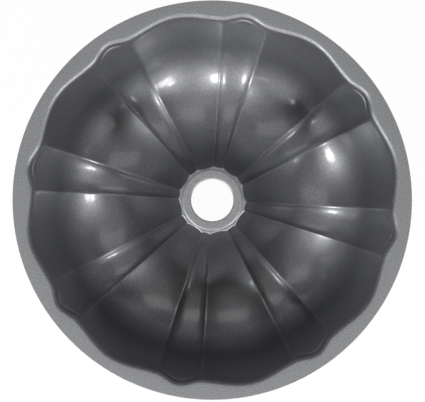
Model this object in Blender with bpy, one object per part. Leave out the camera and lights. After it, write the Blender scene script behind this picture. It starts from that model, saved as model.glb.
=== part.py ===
# Fluted tube pan: a drawn, fluted steel shell and the collar crimped round the mouth of its centre tube.
# Metres, +Z up. The pan stands on its base pads at z = 0, with the tube's axis on Z and a petal at +X.

import math

import bmesh
import bpy

# Whole pan
height = 0.086
flange_radius = 0.130
flange_width = 0.0073
sheet = 0.0008

# Section of the bowl, on the batter side
rim_shoulder_radius = 0.0024
base_ring_radius = 0.071
base_land_width = 0.003
outer_sweep_radius = 0.036
inner_sweep_radius = 0.044
pad_depth = 0.0002

# Flutes: narrow petals with wide lobes between them, meeting in creases that stand into the bowl
petal_count = 8
petal_angle = math.radians(14.7)
rim_flute_depth = 0.0037
base_flute_depth = 0.0034
tube_flute_depth = 0.0016
lobe_hollow_power = 2.0
petal_hollow_power = 3.5

# Each petal ends under the rim in an arch, where its floor steps in from the wall
petal_step = 0.0008
petal_step_run = 0.0006
arch_crown_drop = 0.0025
arch_foot_drop = 0.021

# Centre tube and its collar
tube_hole_radius = 0.0142
tube_set_down = 0.001
tube_shoulder_radius = 0.0014
collar_lip_radius = 0.0187
collar_foot_radius = 0.0168
collar_sheet = 0.0006
collar_bend_radius = 0.0002
fit_gap = 0.0003

# Fineness of the meshes
petal_segments = 4
lobe_segments = 8
shoulder_steps = 3
wall_steps = 2
outer_sweep_steps = 5
inner_sweep_steps = 6
cone_steps = 2
collar_segments = 48
bend_steps = 2
smooth_limit = math.radians(28)

floor_height = sheet - pad_depth
collar_top = height - tube_set_down
tube_land_height = collar_top - collar_sheet - fit_gap
tube_land_radius = collar_lip_radius + fit_gap
shell_hole_radius = tube_hole_radius + collar_sheet + fit_gap


def blend(start, end, share):
    return start + (end - start) * share


def eased(share):
    share = min(max(share, 0.0), 1.0)
    return share * share * (3.0 - 2.0 * share)


def draft_between(shoulder, sweep, reach):
    # Draft of the straight wall that leaves a shoulder's arc and runs into a sweep's arc the other side of it
    across = abs(sweep[0] - shoulder[0])
    down = shoulder[1] - sweep[1]
    return math.acos(reach / math.hypot(across, down)) - math.atan2(down, across)


class Arc:
    # side is +1 where the bowl lies outside the arc, as on a shoulder, and -1 where it holds the arc's centre
    def __init__(self, centre, radius, start, end, side):
        self.centre = centre
        self.radius = radius
        self.start = start
        self.end = end
        self.side = side
        self.length = radius * abs(end - start)

    def at(self, share):
        turn = blend(self.start, self.end, share)
        away = (math.cos(turn), math.sin(turn))
        point = (self.centre[0] + self.radius * away[0], self.centre[1] + self.radius * away[1])
        return point, (self.side * away[0], self.side * away[1])


class Line:
    def __init__(self, start, end):
        self.start = start
        self.end = end
        self.length = math.dist(start, end)

    def at(self, share):
        point = (blend(self.start[0], self.end[0], share), blend(self.start[1], self.end[1], share))
        along = ((self.end[0] - self.start[0]) / self.length, (self.end[1] - self.start[1]) / self.length)
        return point, (along[1], -along[0])


def bowl_section():
    # Rim shoulder, wall, outer sweep, base land, inner sweep, cone and tube shoulder, from the rim inwards
    rim_centre = (flange_radius - flange_width, height - rim_shoulder_radius)
    outer_centre = (base_ring_radius + base_land_width / 2, floor_height + outer_sweep_radius)
    inner_centre = (base_ring_radius - base_land_width / 2, floor_height + inner_sweep_radius)
    tube_centre = (tube_land_radius, tube_land_height - tube_shoulder_radius)
    wall_draft = draft_between(rim_centre, outer_centre, rim_shoulder_radius + outer_sweep_radius)
    cone_draft = draft_between(tube_centre, inner_centre, tube_shoulder_radius + inner_sweep_radius)
    rim_shoulder = Arc(rim_centre, rim_shoulder_radius, math.pi / 2, math.pi - wall_draft, 1)
    outer_sweep = Arc(outer_centre, outer_sweep_radius, -wall_draft, -math.pi / 2, -1)
    inner_sweep = Arc(inner_centre, inner_sweep_radius, -math.pi / 2, cone_draft - math.pi, -1)
    tube_shoulder = Arc(tube_centre, tube_shoulder_radius, cone_draft, math.pi / 2, 1)
    wall = Line(rim_shoulder.at(1)[0], outer_sweep.at(0)[0])
    base_land = Line(outer_sweep.at(1)[0], inner_sweep.at(0)[0])
    cone = Line(inner_sweep.at(1)[0], tube_shoulder.at(0)[0])
    return rim_shoulder, wall, outer_sweep, base_land, inner_sweep, cone, tube_shoulder


def flute_columns():
    # Each column of the shell: its angle, whether it is on a petal, and its place across the flute from -1 to 1
    pitch = 2 * math.pi / petal_count
    lobe_angle = pitch - petal_angle
    columns = []
    for flute in range(petal_count):
        for step in range(petal_segments):
            place = 2 * step / petal_segments - 1
            columns.append((flute * pitch + place * petal_angle / 2, True, place))
        for step in range(lobe_segments):
            place = 2 * step / lobe_segments - 1
            columns.append(((flute + 0.5) * pitch + place * lobe_angle / 2, False, place))
    return columns


def arch_drop(on_petal, place):
    # How far down the wall a petal's arch lies: least at its crown, most at the creases
    if not on_petal:
        return arch_foot_drop
    return blend(arch_foot_drop, arch_crown_drop, math.sqrt(max(0.0, 1 - place * place)))


def shell_stations(section, on_petal, place):
    # One column's stations: section piece, share along it, and whether the petal's floor has begun
    wall = section[1]
    arch = arch_drop(on_petal, place)
    stations = [(0, step / shoulder_steps, False) for step in range(shoulder_steps + 1)]
    stations.append((1, arch / wall.length, False))
    lip = (arch + petal_step_run) / wall.length
    stations.append((1, lip, True))
    for step in range(1, wall_steps):
        stations.append((1, blend(lip, 1.0, step / wall_steps), True))
    for piece, steps in ((2, outer_sweep_steps), (3, 1), (4, inner_sweep_steps), (5, cone_steps)):
        stations += [(piece, step / steps, True) for step in range(steps)]
    stations += [(6, step / shoulder_steps, True) for step in range(shoulder_steps + 1)]
    return stations


def flute_depth(section, piece, share):
    if piece < 2:
        return rim_flute_depth
    if piece == 2:
        return blend(rim_flute_depth, base_flute_depth, eased(share))
    if piece == 3:
        return base_flute_depth
    if piece == 6:
        return tube_flute_depth
    climb = section[4].length + section[5].length
    done = share * section[piece].length + (section[4].length if piece == 5 else 0.0)
    return blend(base_flute_depth, tube_flute_depth, done / climb)


def shell_point(section, station, on_petal, place):
    # A point of the batter side: the section's own point, pushed into the bowl by the flute's shape
    piece, share, floor_begun = station
    (radius, level), (normal_out, normal_up) = section[piece].at(share)
    depth = flute_depth(section, piece, share)
    wall = section[1]
    sharp = 0.0 if piece == 0 else 1.0
    if piece == 1:
        sharp = eased(share * wall.length / arch_foot_drop)
    power = petal_hollow_power if on_petal else lobe_hollow_power
    hollow = blend(0.5 + 0.5 * math.cos(math.pi * place), 1 - abs(place) ** power, sharp)
    raised = min(petal_step, depth) if on_petal and floor_begun else 0.0
    push = raised + (depth - raised) * (1 - hollow)
    square = {0: 0.0, 1: eased(share), 5: 1 - eased(share), 6: 0.0}.get(piece, 1.0)
    sideways = -1.0 if piece < 4 else 1.0
    push_out = blend(sideways, normal_out, square)
    push_up = blend(0.0, normal_up, square)
    reach = push / math.hypot(push_out, push_up)
    return radius + push_out * reach, level + push_up * reach


def coated_steel(name, colour, roughness):
    material = bpy.data.materials.new(name)
    material.use_nodes = True
    shader = material.node_tree.nodes["Principled BSDF"]
    shader.inputs["Base Color"].default_value = (*colour, 1.0)
    shader.inputs["Roughness"].default_value = roughness
    shader.inputs["Metallic"].default_value = 0.25
    material.diffuse_color = (*colour, 1.0)
    return material


def add_object(name, mesh_data, material):
    mesh = bpy.data.meshes.new(name)
    mesh_data.to_mesh(mesh)
    mesh_data.free()
    mesh.shade_smooth()
    mesh.set_sharp_from_angle(angle=smooth_limit)
    mesh.materials.append(material)
    piece = bpy.data.objects.new(name, mesh)
    bpy.context.collection.objects.link(piece)
    return piece


def draw_batter_side():
    section = bowl_section()
    mesh_data = bmesh.new()
    rows = []
    for angle, on_petal, place in flute_columns():
        stations = shell_stations(section, on_petal, place)
        outline = [(flange_radius, height)]
        outline += [shell_point(section, station, on_petal, place) for station in stations]
        outline.append((shell_hole_radius, tube_land_height))
        cos, sin = math.cos(angle), math.sin(angle)
        rows.append([mesh_data.verts.new((radius * cos, radius * sin, level)) for radius, level in outline])
    for column, row in enumerate(rows):
        after = rows[(column + 1) % len(rows)]
        for step in range(len(row) - 1):
            mesh_data.faces.new((row[step], after[step], after[step + 1], row[step + 1]))
    return mesh_data


def give_wall(piece):
    wall = piece.modifiers.new("sheet", "SOLIDIFY")
    wall.thickness = sheet
    wall.offset = -1
    wall.use_even_offset = True
    wall.use_quality_normals = True
    solid = bmesh.new()
    solid.from_object(piece, bpy.context.evaluated_depsgraph_get())
    piece.modifiers.remove(wall)
    return solid


def press_base_pads(solid):
    # The lowest bulge of each lobe is pressed flat, so the pan stands on a ring of level pads
    geometry = solid.verts[:] + solid.edges[:] + solid.faces[:]
    cut = bmesh.ops.bisect_plane(
        solid, geom=geometry, dist=1e-7, plane_co=(0, 0, 0), plane_no=(0, 0, 1), clear_inner=True
    )
    edges = [item for item in cut["geom_cut"] if isinstance(item, bmesh.types.BMEdge)]
    bmesh.ops.holes_fill(solid, edges=edges, sides=0)
    bmesh.ops.recalc_face_normals(solid, faces=solid.faces[:])


def make_shell():
    material = coated_steel("shell_coat", (0.045, 0.046, 0.049), 0.38)
    shell = add_object("fluted_shell", draw_batter_side(), material)
    solid = give_wall(shell)
    press_base_pads(solid)
    solid.to_mesh(shell.data)
    solid.free()
    shell.data.shade_smooth()
    shell.data.set_sharp_from_angle(angle=smooth_limit)
    return shell


def bend(centre, radius, start, end):
    return [
        (
            centre[0] + radius * math.cos(blend(start, end, step / bend_steps)),
            centre[1] + radius * math.sin(blend(start, end, step / bend_steps)),
        )
        for step in range(bend_steps + 1)
    ]


def collar_section():
    # A channel that grips the shell's cut edge: lip above, neck in the hole, foot below
    outer_bend = collar_bend_radius + collar_sheet
    bend_line = tube_hole_radius + outer_bend
    grip = sheet + 2 * fit_gap
    lip_under = collar_top - collar_sheet
    foot_top = lip_under - grip
    collar_foot = foot_top - collar_sheet
    upper = (bend_line, collar_top - outer_bend)
    lower = (bend_line, collar_foot + outer_bend)
    outside = [(collar_lip_radius, lip_under), (collar_lip_radius, collar_top)]
    outside += bend(upper, outer_bend, math.pi / 2, math.pi)
    outside += bend(lower, outer_bend, math.pi, 1.5 * math.pi)
    outside += [(collar_foot_radius, collar_foot), (collar_foot_radius, foot_top)]
    inside = bend(lower, collar_bend_radius, 1.5 * math.pi, math.pi)
    inside += bend(upper, collar_bend_radius, math.pi, math.pi / 2)
    return outside + inside


def make_collar():
    material = coated_steel("collar_coat", (0.060, 0.061, 0.064), 0.34)
    mesh_data = bmesh.new()
    ring = [mesh_data.verts.new((radius, 0, level)) for radius, level in collar_section()]
    loop = [mesh_data.edges.new((ring[place - 1], ring[place])) for place in range(len(ring))]
    bmesh.ops.spin(
        mesh_data, geom=ring + loop, cent=(0, 0, 0), axis=(0, 0, 1), angle=2 * math.pi,
        steps=collar_segments, use_merge=True, use_duplicate=False
    )
    bmesh.ops.recalc_face_normals(mesh_data, faces=mesh_data.faces[:])
    return add_object("tube_collar", mesh_data, material)


for old in list(bpy.data.objects):
    bpy.data.objects.remove(old, do_unlink=True)
make_shell()
make_collar()
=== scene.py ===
import math

import bmesh
import bpy
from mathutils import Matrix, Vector


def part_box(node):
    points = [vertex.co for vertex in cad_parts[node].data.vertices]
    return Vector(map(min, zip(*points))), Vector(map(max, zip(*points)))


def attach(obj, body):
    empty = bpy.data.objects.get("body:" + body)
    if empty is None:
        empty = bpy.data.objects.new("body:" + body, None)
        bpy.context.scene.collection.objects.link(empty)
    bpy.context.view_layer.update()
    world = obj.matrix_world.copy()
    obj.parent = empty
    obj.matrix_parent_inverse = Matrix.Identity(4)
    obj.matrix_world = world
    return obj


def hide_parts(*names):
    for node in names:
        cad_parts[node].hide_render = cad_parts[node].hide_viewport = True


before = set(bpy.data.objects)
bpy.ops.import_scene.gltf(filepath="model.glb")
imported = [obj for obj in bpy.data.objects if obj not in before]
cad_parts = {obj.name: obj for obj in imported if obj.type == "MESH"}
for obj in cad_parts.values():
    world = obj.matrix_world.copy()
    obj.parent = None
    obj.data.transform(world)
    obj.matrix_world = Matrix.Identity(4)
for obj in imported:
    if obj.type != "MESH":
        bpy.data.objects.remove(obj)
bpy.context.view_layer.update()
print("frame loaded:", ", ".join(sorted(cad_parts)))

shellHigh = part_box("fluted_shell")[1]
collarLow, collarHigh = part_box("tube_collar")
panHeight = shellHigh.z
flangeRadius = shellHigh.x

sameLength = 0.000001  # lengths that differ by less than this are the same
smoothAngle = math.radians(32)  # faces that meet at less than this are shaded as one surface


# Small helpers

def blend(start, end, share):
    return start + (end - start) * share


def eased(share):
    # 0 up to a share of 0, 1 from a share of 1, and a soft step between them
    share = min(max(share, 0.0), 1.0)
    return share * share * (3.0 - 2.0 * share)


def radiusOf(point):
    return math.hypot(point.x, point.y)


def nameNew(name):
    piece = bpy.context.object
    piece.name = name
    piece.data.name = name
    return piece


def selectEdges(piece, wanted):
    # In edit mode: selects only the edges that pass the test
    mesh = bmesh.from_edit_mesh(piece.data)
    for part in [*mesh.verts, *mesh.edges, *mesh.faces]:
        part.select_set(False)
    for edge in mesh.edges:
        if wanted(edge):
            edge.select_set(True)
    bmesh.update_edit_mesh(piece.data)


def ringAt(radius, level):
    # A test for selectEdges: the edges of one level circle
    def wanted(edge):
        return all(
            abs(corner.co.z - level) < sameLength and abs(radiusOf(corner.co) - radius) < sameLength
            for corner in edge.verts
        )
    return wanted


def applyModifier(piece, kind, **settings):
    modifier = piece.modifiers.new(kind.lower(), kind)
    for setting, value in settings.items():
        setattr(modifier, setting, value)
    bpy.ops.object.modifier_apply(modifier=modifier.name)


def thicken(piece, sheet):
    applyModifier(
        piece, "SOLIDIFY", thickness=sheet, offset=-1, use_even_offset=True, use_quality_normals=True,
    )


# The fluted shell: a blank sheet, drawn over the section of the bowl and fluted as it goes round

shell = {
    "sheet": 0.0008,
    "flangeWidth": 0.0061,
    "rimShoulder": 0.0036,
    "baseRing": 0.071,
    "baseLand": 0.003,
    "outerSweep": 0.036,
    "innerSweep": 0.044,
    "padDepth": 0.0002,
    "petals": 8,
    "petalAngle": math.radians(14.7),
    "rimFlute": 0.0037,
    "baseFlute": 0.0034,
    "tubeFlute": 0.0016,
    "lobePower": 2.0,
    "petalPower": 3.5,
    "petalStep": 0.0008,
    "stepRun": 0.0009,
    "archCrown": 0.0025,
    "archFoot": 0.021,
    "tubeShoulder": 0.0011,
    "tubeLandRadius": collarHigh.x + 0.0013,
    "tubeLandHeight": collarHigh.z - 0.0009,
    "tubeHole": 0.0148,
    "petalColumns": 14,
    "lobeColumns": 26,
    "rows": {
        "flange": 4, "rimShoulder": 9, "aboveArch": 4, "archLip": 4, "belowArch": 8, "outerSweep": 18,
        "baseLand": 2, "innerSweep": 22, "cone": 12, "tubeShoulder": 8, "tubeLand": 2,
    },
    "creaseRound": 45,  # per cent of the columns next to a crease
    "seamGap": 0.000002,
    "edgeRound": 0.0002,
    "edgeReach": 0.00001,
}


def arcPath(centre, radius, start, end, side):
    # side is 1 where the bowl lies outside the arc and -1 where it holds the arc's centre
    def at(share):
        turn = blend(start, end, share)
        out, up = math.cos(turn), math.sin(turn)
        return (centre[0] + radius * out, centre[1] + radius * up), (side * out, side * up)
    return at, radius * abs(end - start)


def linePath(start, end):
    length = math.dist(start, end)
    normal = ((end[1] - start[1]) / length, (start[0] - end[0]) / length)

    def at(share):
        return (blend(start[0], end[0], share), blend(start[1], end[1], share)), normal
    return at, length


def draftBetween(shoulder, sweep, reach):
    # The lean from upright of the straight line that touches a shoulder's arc and a sweep's arc
    across = abs(sweep[0] - shoulder[0])
    down = shoulder[1] - sweep[1]
    return math.acos(reach / math.hypot(across, down)) - math.atan2(down, across)


def bowlSection():
    # Half of the section through the bowl, as named paths from the rim to the tube's mouth
    floorHeight = shell["sheet"] - shell["padDepth"]
    rim = (flangeRadius - shell["flangeWidth"], panHeight - shell["rimShoulder"])
    outer = (shell["baseRing"] + shell["baseLand"] / 2, floorHeight + shell["outerSweep"])
    inner = (shell["baseRing"] - shell["baseLand"] / 2, floorHeight + shell["innerSweep"])
    tube = (shell["tubeLandRadius"], shell["tubeLandHeight"] - shell["tubeShoulder"])
    wallDraft = draftBetween(rim, outer, shell["rimShoulder"] + shell["outerSweep"])
    coneDraft = draftBetween(tube, inner, shell["tubeShoulder"] + shell["innerSweep"])
    section = {
        "rimShoulder": arcPath(rim, shell["rimShoulder"], math.pi / 2, math.pi - wallDraft, 1),
        "outerSweep": arcPath(outer, shell["outerSweep"], -wallDraft, -math.pi / 2, -1),
        "innerSweep": arcPath(inner, shell["innerSweep"], -math.pi / 2, coneDraft - math.pi, -1),
        "tubeShoulder": arcPath(tube, shell["tubeShoulder"], coneDraft, math.pi / 2, 1),
    }
    for name, before, after in (
        ("wall", "rimShoulder", "outerSweep"),
        ("baseLand", "outerSweep", "innerSweep"),
        ("cone", "innerSweep", "tubeShoulder"),
    ):
        section[name] = linePath(section[before][0](1)[0], section[after][0](0)[0])
    return section


def fluteDepth(section, part, share):
    if part in ("rimShoulder", "wall"):
        return shell["rimFlute"]
    if part == "outerSweep":
        return blend(shell["rimFlute"], shell["baseFlute"], eased(share))
    if part == "baseLand":
        return shell["baseFlute"]
    if part == "tubeShoulder":
        return shell["tubeFlute"]
    sweep, cone = section["innerSweep"][1], section["cone"][1]
    done = share * sweep if part == "innerSweep" else sweep + share * cone
    return blend(shell["baseFlute"], shell["tubeFlute"], done / (sweep + cone))


def drawnPoint(section, part, share, floorBegun, onPetal, place):
    # place runs from -1 to 1 across a petal or a lobe; floorBegun is 0 above a petal's arch and 1 below it
    at, length = section[part]
    (radius, level), (normalOut, normalUp) = at(share)
    depth = fluteDepth(section, part, share)
    # The flutes are soft waves on the rim's shoulder and grow their own hollows down the wall
    sharp = {"rimShoulder": 0.0, "wall": eased(share * length / shell["archFoot"])}.get(part, 1.0)
    power = shell["petalPower"] if onPetal else shell["lobePower"]
    wave = (1 + math.cos(math.pi * place)) / 2
    hollow = blend(wave, 1 - abs(place) ** power, sharp)
    raised = floorBegun * min(shell["petalStep"], depth) if onPetal else 0.0
    push = raised + (depth - raised) * (1 - hollow)
    # They are pushed in level at the rim and the tube, and along the section's own normal between
    square = {
        "rimShoulder": 0.0, "wall": eased(share), "cone": 1 - eased(share), "tubeShoulder": 0.0,
    }.get(part, 1.0)
    sideways = 1.0 if part in ("innerSweep", "cone", "tubeShoulder") else -1.0
    out = blend(sideways, normalOut, square)
    up = blend(0.0, normalUp, square)
    reach = push / math.hypot(out, up)
    return radius + out * reach, level + up * reach


def blankPoint(section, row, share, onPetal, place):
    # Where a row of the blank ends up on the drawn shell
    if row == "flange":
        edge = drawnPoint(section, "rimShoulder", 0.0, 0.0, onPetal, place)
        closeRows = share * share  # the rows lie close together at the outer edge
        return blend(flangeRadius, edge[0], closeRows), panHeight
    if row == "tubeLand":
        edge = drawnPoint(section, "tubeShoulder", 1.0, 1.0, onPetal, place)
        return blend(edge[0], shell["tubeHole"], share), shell["tubeLandHeight"]
    if row not in ("aboveArch", "archLip", "belowArch"):
        return drawnPoint(section, row, share, float(row != "rimShoulder"), onPetal, place)
    curve = math.sqrt(max(0.0, 1 - place * place)) if onPetal else 0.0
    arch = blend(shell["archFoot"], shell["archCrown"], curve)
    wall = section["wall"][1]
    begins, ends = arch / wall, (arch + shell["stepRun"]) / wall
    if row == "aboveArch":
        return drawnPoint(section, "wall", blend(0.0, begins, share), 0.0, onPetal, place)
    if row == "archLip":
        return drawnPoint(section, "wall", blend(begins, ends, share), eased(share), onPetal, place)
    return drawnPoint(section, "wall", blend(ends, 1.0, share), 1.0, onPetal, place)


def blankColumns():
    # Each column's angle, whether it is on a petal, and its place across the petal or lobe
    pitch = 2 * math.pi / shell["petals"]
    lobeAngle = pitch - shell["petalAngle"]
    columns = []
    for petal in range(shell["petals"]):
        for step in range(shell["petalColumns"]):
            place = 2 * step / shell["petalColumns"] - 1
            columns.append((petal * pitch + place * shell["petalAngle"] / 2, True, place))
        for step in range(shell["lobeColumns"]):
            place = 2 * step / shell["lobeColumns"] - 1
            columns.append(((petal + 0.5) * pitch + place * lobeAngle / 2, False, place))
    return columns + columns[:1]


def blankRows():
    rows = []
    for row, steps in shell["rows"].items():
        rows += [(row, step / steps) for step in range(steps)]
    return rows + [("tubeLand", 1.0)]


def drawBlank(piece, columns, rows):
    # Moves a flat grid of size 1 into the shell's shape, and gives back the numbers of the creases' edges
    section = bowlSection()
    creases = set()
    for vertex in piece.data.vertices:
        column = round((vertex.co.x + 0.5) * (len(columns) - 1))
        row = round((vertex.co.y + 0.5) * (len(rows) - 1))
        angle, onPetal, place = columns[column]
        radius, level = blankPoint(section, *rows[row], onPetal, place)
        vertex.co = (radius * math.cos(angle), radius * math.sin(angle), level)
        if abs(place) == 1 and rows[row][0] not in ("flange", "rimShoulder", "tubeLand"):
            creases.add(vertex.index)
    return {edge.index for edge in piece.data.edges if set(edge.vertices) <= creases}


def onFlangeEdge(edge):
    inside = min(radiusOf(corner.co) for corner in edge.verts) < flangeRadius - shell["edgeReach"]
    return not inside and abs(edge.verts[0].co.z - edge.verts[1].co.z) < sameLength


# Where the coat on the shell differs: each mask says how far, from 0 to 1. The crease mask places a
# painted highlight, and the flat mask places painted light

masks = {
    "creaseWidth": 0.0007,
    "creaseDepth": 0.012,  # how far under the rim the polish on the creases begins
    "creaseDepthFade": 0.02,
    "creaseRadius": 0.025,  # how far from the axis it ends
    "creaseRadiusFade": 0.01,
    "flatDepth": 0.0003,
    "flatFade": 0.0002,
    "rimDepth": 0.004,
    "rimDepthFade": 0.002,
    "rimRadius": 0.1,
    "rimRadiusFade": 0.005,
}


def creaseNearness(point):
    # 1 in the bowl on the line where a petal meets a lobe, 0 from about a millimetre away; it places a
    # painted highlight and a glossier coat on the crease ridges
    pitch = 2 * math.pi / shell["petals"]
    angle = (math.atan2(point.y, point.x) + pitch / 2) % pitch - pitch / 2
    out = radiusOf(point)
    away = abs(abs(angle) - shell["petalAngle"] / 2) * out
    underRim = eased((panHeight - masks["creaseDepth"] - point.z) / masks["creaseDepthFade"])
    offTube = eased((out - masks["creaseRadius"]) / masks["creaseRadiusFade"])
    return underRim * offTube * math.exp(-(away / masks["creaseWidth"]) ** 2)


def flatness(point):
    # 1 on the flange and on the land round the tube, 0 in the bowl; it gives these level surfaces more
    # grain and painted light, a lighter colour
    onLand = radiusOf(point) < shell["baseRing"] / 2
    level = shell["tubeLandHeight"] if onLand else panHeight
    return eased((point.z - level + masks["flatDepth"]) / masks["flatFade"])


def rimNearness(point):
    # 1 on the rounded shoulder that leads from the flange into the bowl, and on the flange itself
    high = eased((point.z - panHeight + masks["rimDepth"]) / masks["rimDepthFade"])
    return high * eased((radiusOf(point) - masks["rimRadius"]) / masks["rimRadiusFade"])


def makeShell():
    columns, rows = blankColumns(), blankRows()
    bpy.ops.object.select_all(action="DESELECT")
    bpy.ops.mesh.primitive_grid_add(
        x_subdivisions=len(columns) - 1, y_subdivisions=len(rows) - 1, size=1.0,
    )
    piece = nameNew("drawn_shell")
    creaseEdges = drawBlank(piece, columns, rows)
    # The creases are rounded before the seam is closed, while the edges keep their numbers
    bpy.ops.object.mode_set(mode="EDIT")
    bpy.ops.mesh.select_mode(type="EDGE")
    selectEdges(piece, lambda edge: edge.index in creaseEdges)
    bpy.ops.mesh.bevel(offset_type="PERCENT", offset_pct=shell["creaseRound"], segments=4, affect="EDGES")
    bpy.ops.mesh.select_all(action="SELECT")
    bpy.ops.mesh.remove_doubles(threshold=shell["seamGap"])
    bpy.ops.object.mode_set(mode="OBJECT")
    thicken(piece, shell["sheet"])
    # The lowest bulge of each lobe is pressed flat, so the pan stands level
    bpy.ops.object.mode_set(mode="EDIT")
    bpy.ops.mesh.select_all(action="SELECT")
    bpy.ops.mesh.bisect(
        plane_co=(0, 0, 0), plane_no=(0, 0, 1), use_fill=True, clear_inner=True, threshold=sameLength,
    )
    # The cut edge of the flange is dulled by the coat
    selectEdges(piece, onFlangeEdge)
    bpy.ops.mesh.bevel(offset=shell["edgeRound"], segments=3, affect="EDGES")
    bpy.ops.object.mode_set(mode="OBJECT")
    bpy.ops.object.shade_smooth_by_angle(angle=smoothAngle)
    for name, measure in (("crease", creaseNearness), ("flat", flatness), ("rim", rimNearness)):
        layer = piece.data.attributes.new(name, "FLOAT", "POINT")
        layer.data.foreach_set("value", [measure(vertex.co) for vertex in piece.data.vertices])
    return piece


# The collar: a short neck whose two ends are turned out over the edge of the sheet

collar = {
    "holeRadius": 0.0138,
    "footRadius": 0.0168,
    "lipRadius": collarHigh.x + 0.001,
    "rollOut": 0.0018,
    "rollDown": 0.0007,
    "rollTurn": math.radians(55),
    "rollSteps": 4,
    "sheet": 0.0006,
    "bend": 0.0008,
    "edgeRound": 0.00012,
    "sharpAngle": math.radians(60),
    "around": 144,
}


def spread(start, end, rise=0.0):
    # Extrudes the selected circle of edges and brings the new one from the first radius to the second
    bpy.ops.mesh.extrude_edges_move(TRANSFORM_OT_translate={"value": (0, 0, rise)})
    bpy.ops.transform.resize(value=(end / start, end / start, 1))


def turnOut(piece, level, reach):
    # Turns one end of the neck out flat, in two steps so that the bend keeps clear of the outer edge
    middle = blend(collar["holeRadius"], reach, 0.5)
    selectEdges(piece, ringAt(collar["holeRadius"], level))
    spread(collar["holeRadius"], middle)
    spread(middle, reach)


def makeCollar():
    bpy.ops.object.select_all(action="DESELECT")
    bpy.ops.mesh.primitive_cylinder_add(
        vertices=collar["around"], radius=collar["holeRadius"], depth=collarHigh.z - collarLow.z,
        end_fill_type="NOTHING", location=(0, 0, blend(collarLow.z, collarHigh.z, 0.5)),
    )
    piece = nameNew("crimped_collar")
    bpy.ops.object.transform_apply(location=True, rotation=True, scale=True)
    bpy.ops.object.mode_set(mode="EDIT")
    bpy.ops.mesh.select_mode(type="EDGE")
    turnOut(piece, collarLow.z, collar["footRadius"])
    flatLip = collar["lipRadius"] - collar["rollOut"] * math.sin(collar["rollTurn"])
    turnOut(piece, collarHigh.z, flatLip)
    # The outer edge of the upper lip, still selected, is rolled down towards the sheet
    radius, drop = flatLip, 0.0
    for step in range(1, collar["rollSteps"] + 1):
        turn = collar["rollTurn"] * step / collar["rollSteps"]
        reach = flatLip + collar["rollOut"] * math.sin(turn)
        fall = collar["rollDown"] * (1 - math.cos(turn))
        spread(radius, reach, drop - fall)
        radius, drop = reach, fall
    for level in (collarHigh.z, collarLow.z):
        selectEdges(piece, ringAt(collar["holeRadius"], level))
        bpy.ops.mesh.bevel(offset=collar["bend"], segments=5, affect="EDGES")
    bpy.ops.mesh.select_all(action="SELECT")
    bpy.ops.mesh.normals_make_consistent(inside=False)
    bpy.ops.object.mode_set(mode="OBJECT")
    thicken(piece, collar["sheet"])
    applyModifier(
        piece, "BEVEL", width=collar["edgeRound"], segments=3,
        limit_method="ANGLE", angle_limit=collar["sharpAngle"],
    )
    bpy.ops.object.shade_smooth_by_angle(angle=smoothAngle)
    return piece


# The coat: one node group of grain, flecks and patches, with a painted highlight on the creases and
# painted light on the level surfaces, used by both materials

coat = {
    "patches": {"Scale": 38.0, "Detail": 4.0},
    "grain": {"Scale": 1500.0, "Detail": 2.0},
    "peel": {"Scale": 420.0, "Detail": 1.0},
    "flecks": {"Scale": 1400.0},
    "fleckReach": 0.22,
    "fleckRarity": 0.62,
    "flatGrain": 0.4,
    # Painted light on the level surfaces, then a painted highlight on the crease ridges
    "flatPaintedLight": 0.3,
    "paintedHighlightTone": 0.25,
    "patchGloss": 0.3,
    "fleckGloss": 0.25,
    "polishGloss": 0.08,
    "peelShare": 0.7,
    "peelHeight": 0.00004,
}


def addNode(tree, kind, **settings):
    node = tree.nodes.new(kind)
    for setting, value in settings.items():
        setattr(node, setting, value)
    return node


def addTexture(group, kind, where, values):
    texture = addNode(group, kind)
    for socket, value in values.items():
        texture.inputs[socket].default_value = value
    group.links.new(where, texture.inputs["Vector"])
    return texture


def calculate(group, operation, first, second, third=None):
    # Each input is a number or another node's output
    node = addNode(group, "ShaderNodeMath", operation=operation)
    for index, value in enumerate((first, second, third)):
        if value is None:
            continue
        if isinstance(value, (int, float)):
            node.inputs[index].default_value = value
        else:
            group.links.new(value, node.inputs[index])
    return node.outputs[0]


def coatSockets(group):
    for name, value in (("Patches", 0.1), ("Flecks", 0.3), ("Grain", 1.0), ("GlossAndPaintedHighlight", 0.0), ("FlatGrainAndPaintedLight", 0.0)):
        socket = group.interface.new_socket(name=name, in_out="INPUT", socket_type="NodeSocketFloat")
        socket.default_value = value
    for name in ("Tone", "Roughness", "Height"):
        group.interface.new_socket(name=name, in_out="OUTPUT", socket_type="NodeSocketFloat")


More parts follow.
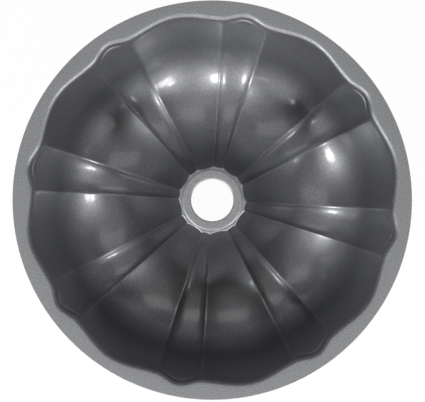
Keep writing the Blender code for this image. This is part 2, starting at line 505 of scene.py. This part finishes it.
def makeCoatGroup():
    group = bpy.data.node_groups.new("coatTexture", "ShaderNodeTree")
    coatSockets(group)
    given = addNode(group, "NodeGroupInput").outputs
    result = addNode(group, "NodeGroupOutput").inputs
    where = addNode(group, "ShaderNodeTexCoord").outputs["Object"]
    patches = addTexture(group, "ShaderNodeTexNoise", where, coat["patches"])
    grain = addTexture(group, "ShaderNodeTexNoise", where, coat["grain"])
    peel = addTexture(group, "ShaderNodeTexNoise", where, coat["peel"])
    flecks = addTexture(group, "ShaderNodeTexVoronoi", where, coat["flecks"])

    patch = calculate(group, "SUBTRACT", patches.outputs["Fac"], 0.5)
    patch = calculate(group, "MULTIPLY", patch, given["Patches"])
    # The grain shows more on the flat surfaces
    bright = calculate(group, "SUBTRACT", grain.outputs["Fac"], 0.5)
    bright = calculate(group, "MULTIPLY", bright, given["Grain"])
    moreGrain = calculate(group, "MULTIPLY_ADD", given["FlatGrainAndPaintedLight"], coat["flatGrain"], 1.0)
    bright = calculate(group, "MULTIPLY", bright, moreGrain)
    # Each fleck is the middle of a cell, and only some cells keep theirs
    cell = addNode(group, "ShaderNodeSeparateColor")
    group.links.new(flecks.outputs["Color"], cell.inputs["Color"])
    kept = calculate(group, "GREATER_THAN", cell.outputs["Red"], coat["fleckRarity"])
    speck = calculate(group, "LESS_THAN", flecks.outputs["Distance"], coat["fleckReach"])
    speck = calculate(group, "MULTIPLY", speck, kept)
    speck = calculate(group, "MULTIPLY", speck, given["Flecks"])

    tone = calculate(group, "ADD", patch, bright)
    tone = calculate(group, "ADD", tone, speck)
    # Painted highlight: the crease ridges are lighter in colour
    tone = calculate(group, "MULTIPLY_ADD", given["GlossAndPaintedHighlight"], coat["paintedHighlightTone"], tone)
    tone = calculate(group, "ADD", tone, 1.0)
    # Painted light: the flange and the land round the tube are lighter in colour, as level surfaces lit
    # from above
    lift = calculate(group, "MULTIPLY_ADD", given["FlatGrainAndPaintedLight"], coat["flatPaintedLight"], 1.0)
    group.links.new(calculate(group, "MULTIPLY", tone, lift), result["Tone"])

    rough = calculate(group, "MULTIPLY", patch, -coat["patchGloss"])
    rough = calculate(group, "MULTIPLY_ADD", speck, -coat["fleckGloss"], rough)
    rough = calculate(group, "MULTIPLY_ADD", given["GlossAndPaintedHighlight"], -coat["polishGloss"], rough)
    group.links.new(rough, result["Roughness"])

    height = calculate(group, "MULTIPLY", grain.outputs["Fac"], 1 - coat["peelShare"])
    height = calculate(group, "MULTIPLY_ADD", peel.outputs["Fac"], coat["peelShare"], height)
    group.links.new(height, result["Height"])
    return group


shellLook = {
    "colour": (0.217, 0.2205, 0.228),
    "metallic": 0.92,
    "roughness": 0.53,
    "coatWeight": 0.65,
    "coatRoughness": 0.155,
    "rimThinner": 0.5,
    "Patches": 0.10,
    "Flecks": 0.25,
    "Grain": 1.3,
    "bump": 0.15,
    "masks": {"crease": "GlossAndPaintedHighlight", "flat": "FlatGrainAndPaintedLight"},
}
# The collar's colour is the shell's coat painted lighter: painted light on its level lip
collarLookPaintedLighter = {
    "colour": (0.310, 0.313, 0.321),
    "metallic": 0.85,
    "roughness": 0.5,
    "coatWeight": 0.6,
    "coatRoughness": 0.2,
    "rimThinner": 0.0,
    "Patches": 0.08,
    "Flecks": 0.20,
    "Grain": 1.3,
    "bump": 0.15,
    "masks": {},
}


def makeCoat(name, group, look):
    material = bpy.data.materials.new(name)
    material.use_nodes = True
    tree = material.node_tree
    link = tree.links.new
    shader = tree.nodes["Principled BSDF"]
    shader.inputs["Metallic"].default_value = look["metallic"]
    shader.inputs["Coat Weight"].default_value = look["coatWeight"]
    shader.inputs["Coat Roughness"].default_value = look["coatRoughness"]
    texture = addNode(tree, "ShaderNodeGroup", node_tree=group)
    for socket in ("Patches", "Flecks", "Grain"):
        texture.inputs[socket].default_value = look[socket]
    for mask, socket in look["masks"].items():
        layer = addNode(tree, "ShaderNodeAttribute", attribute_name=mask)
        link(layer.outputs["Fac"], texture.inputs[socket])
    if look["rimThinner"]:
        # The clear layer is thinner over the rim
        layer = addNode(tree, "ShaderNodeAttribute", attribute_name="rim").outputs["Fac"]
        thinner = calculate(tree, "MULTIPLY_ADD", layer, -look["rimThinner"], look["coatWeight"])
        link(thinner, shader.inputs["Coat Weight"])
    colour = addNode(tree, "ShaderNodeMix", data_type="RGBA", blend_type="MULTIPLY")
    colour.inputs["Factor"].default_value = 1.0
    colour.inputs["A"].default_value = (*look["colour"], 1.0)
    link(texture.outputs["Tone"], colour.inputs["B"])
    link(colour.outputs["Result"], shader.inputs["Base Color"])
    rough = calculate(tree, "ADD", look["roughness"], texture.outputs["Roughness"])
    link(rough, shader.inputs["Roughness"])
    bump = addNode(tree, "ShaderNodeBump")
    bump.inputs["Strength"].default_value = look["bump"]
    bump.inputs["Distance"].default_value = coat["peelHeight"]
    link(texture.outputs["Height"], bump.inputs["Height"])
    link(bump.outputs["Normal"], shader.inputs["Normal"])
    return material


# The set: lamps stand at angles of the photograph, counterclockwise from its right side

view = {
    "panTurn": math.radians(-10.6),
    "cameraHeight": 1.2,
    "sensorWidth": 36.0,
    "panPixels": 199.77,  # the pan's radius in the photograph
    "imageWidth": 425,
    "shiftRight": 0.25,
    "shiftUp": -0.85,
}
lampDistance = 4.4
lamps = {
    "above": {"azimuth": 270, "tilt": 4, "size": (4.0, 3.2), "level": 0.3},
    "back": {"azimuth": 92, "tilt": 26, "size": (3.4, 1.9), "level": 1.45},
    "frontLeft": {"azimuth": 225, "tilt": 53, "size": (1.6, 0.95), "level": 28.5},
    "frontRight": {"azimuth": 317, "tilt": 55, "size": (1.6, 0.95), "level": 21.0},
    "frontLow": {"azimuth": 270, "tilt": 72, "size": (2.7, 1.2), "level": 6.0},
    "leftKey": {"azimuth": 226, "tilt": 44.5, "size": (0.7, 0.46), "level": 33.0},
    "rightKey": {"azimuth": 314, "tilt": 44.5, "size": (0.7, 0.46), "level": 36.0},
}
surround = {
    "world": 0.01,
    "floorReach": 3.4,
    "wall": 0.7,
    "sweep": 0.5,
    "paint": 0.9,
    "white": 0.96,
}


def towards(azimuth, tilt):
    # Direction from the pan, for a photograph angle and a tilt from straight up, in degrees
    turn = math.radians(azimuth) - view["panTurn"]
    lean = math.radians(tilt)
    return Vector((math.sin(lean) * math.cos(turn), math.sin(lean) * math.sin(turn), math.cos(lean)))


def makeLamp(name, lamp):
    light = bpy.data.lights.new(name, "AREA")
    light.shape = "RECTANGLE"
    light.size, light.size_y = lamp["size"]
    light.energy = lamp["level"] * light.size * light.size_y * math.pi
    box = bpy.data.objects.new(name, light)
    bpy.context.scene.collection.objects.link(box)
    aim = Vector((0, 0, panHeight / 2))
    box.location = aim + towards(lamp["azimuth"], lamp["tilt"]) * lampDistance
    box.rotation_euler = (aim - box.location).to_track_quat("-Z", "Y").to_euler()
    box.visible_camera = False


def makeStudioWhite():
    # White to the camera and in reflections, and plain paint to all other light
    material = bpy.data.materials.new("studioWhite")
    material.use_nodes = True
    tree = material.node_tree
    tree.nodes.clear()
    paint = addNode(tree, "ShaderNodeBsdfDiffuse")
    paint.inputs["Color"].default_value = (surround["paint"], surround["paint"], surround["paint"], 1.0)
    glow = addNode(tree, "ShaderNodeEmission")
    path = addNode(tree, "ShaderNodeLightPath").outputs
    seen = calculate(tree, "MAXIMUM", path["Is Camera Ray"], path["Is Glossy Ray"])
    seen = calculate(tree, "MAXIMUM", seen, path["Is Transmission Ray"])
    share = calculate(tree, "MULTIPLY", seen, surround["white"])
    mix = addNode(tree, "ShaderNodeMixShader")
    out = addNode(tree, "ShaderNodeOutputMaterial")
    tree.links.new(share, mix.inputs[0])
    tree.links.new(paint.outputs[0], mix.inputs[1])
    tree.links.new(glow.outputs[0], mix.inputs[2])
    tree.links.new(mix.outputs[0], out.inputs[0])
    return material


def makeFloor():
    # A round floor that sweeps up into a low wall
    bpy.ops.object.select_all(action="DESELECT")
    bpy.ops.mesh.primitive_circle_add(vertices=96, radius=surround["floorReach"], fill_type="NGON")
    floor = nameNew("studio_floor")
    foot = ringAt(surround["floorReach"], 0.0)
    bpy.ops.object.mode_set(mode="EDIT")
    bpy.ops.mesh.select_mode(type="EDGE")
    selectEdges(floor, foot)
    bpy.ops.mesh.extrude_edges_move(TRANSFORM_OT_translate={"value": (0, 0, surround["wall"])})
    selectEdges(floor, foot)
    bpy.ops.mesh.bevel(offset=surround["sweep"], segments=10, affect="EDGES")
    bpy.ops.mesh.select_all(action="SELECT")
    bpy.ops.mesh.normals_make_consistent(inside=True)
    bpy.ops.object.mode_set(mode="OBJECT")
    bpy.ops.object.shade_smooth()
    floor.data.materials.append(makeStudioWhite())
    return floor


def makeWorld():
    world = bpy.data.worlds.new("studio")
    world.use_nodes = True
    background = world.node_tree.nodes["Background"]
    background.inputs["Strength"].default_value = surround["world"]
    background.inputs["Color"].default_value = (1.0, 1.0, 1.0, 1.0)
    bpy.context.scene.world = world


def makeCamera():
    # Straight above the pan, which comes out as wide as in the photograph
    camera = bpy.data.cameras.new("camera")
    holder = bpy.data.objects.new("camera", camera)
    bpy.context.scene.collection.objects.link(holder)
    panShare = view["panPixels"] / view["imageWidth"]
    camera.sensor_width = view["sensorWidth"]
    camera.lens = view["sensorWidth"] * panShare / flangeRadius * view["cameraHeight"]
    camera.shift_x = view["shiftRight"] / view["imageWidth"]
    camera.shift_y = view["shiftUp"] / view["imageWidth"]
    holder.location = (0, 0, panHeight + view["cameraHeight"])
    holder.rotation_euler = (0, 0, -view["panTurn"])
    bpy.context.scene.camera = holder


shellPiece = makeShell()
print("shell drawn:", len(shellPiece.data.polygons), "faces")
collarPiece = makeCollar()
print("collar crimped:", len(collarPiece.data.polygons), "faces")

coatTexture = makeCoatGroup()
shellPiece.data.materials.append(makeCoat("shellCoat", coatTexture, shellLook))
collarPiece.data.materials.append(makeCoat("collarCoatPaintedLighter", coatTexture, collarLookPaintedLighter))
for piece, node, slotName in (
    (shellPiece, "fluted_shell", "shell_coat"),
    (collarPiece, "tube_collar", "collar_coat"),
):
    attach(piece, "root")
    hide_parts(node)
print("coats on")

makeFloor()
for lampName, lamp in lamps.items():
    makeLamp(lampName, lamp)
makeWorld()
makeCamera()
bpy.context.scene.view_settings.view_transform = "Standard"
print("set lit")
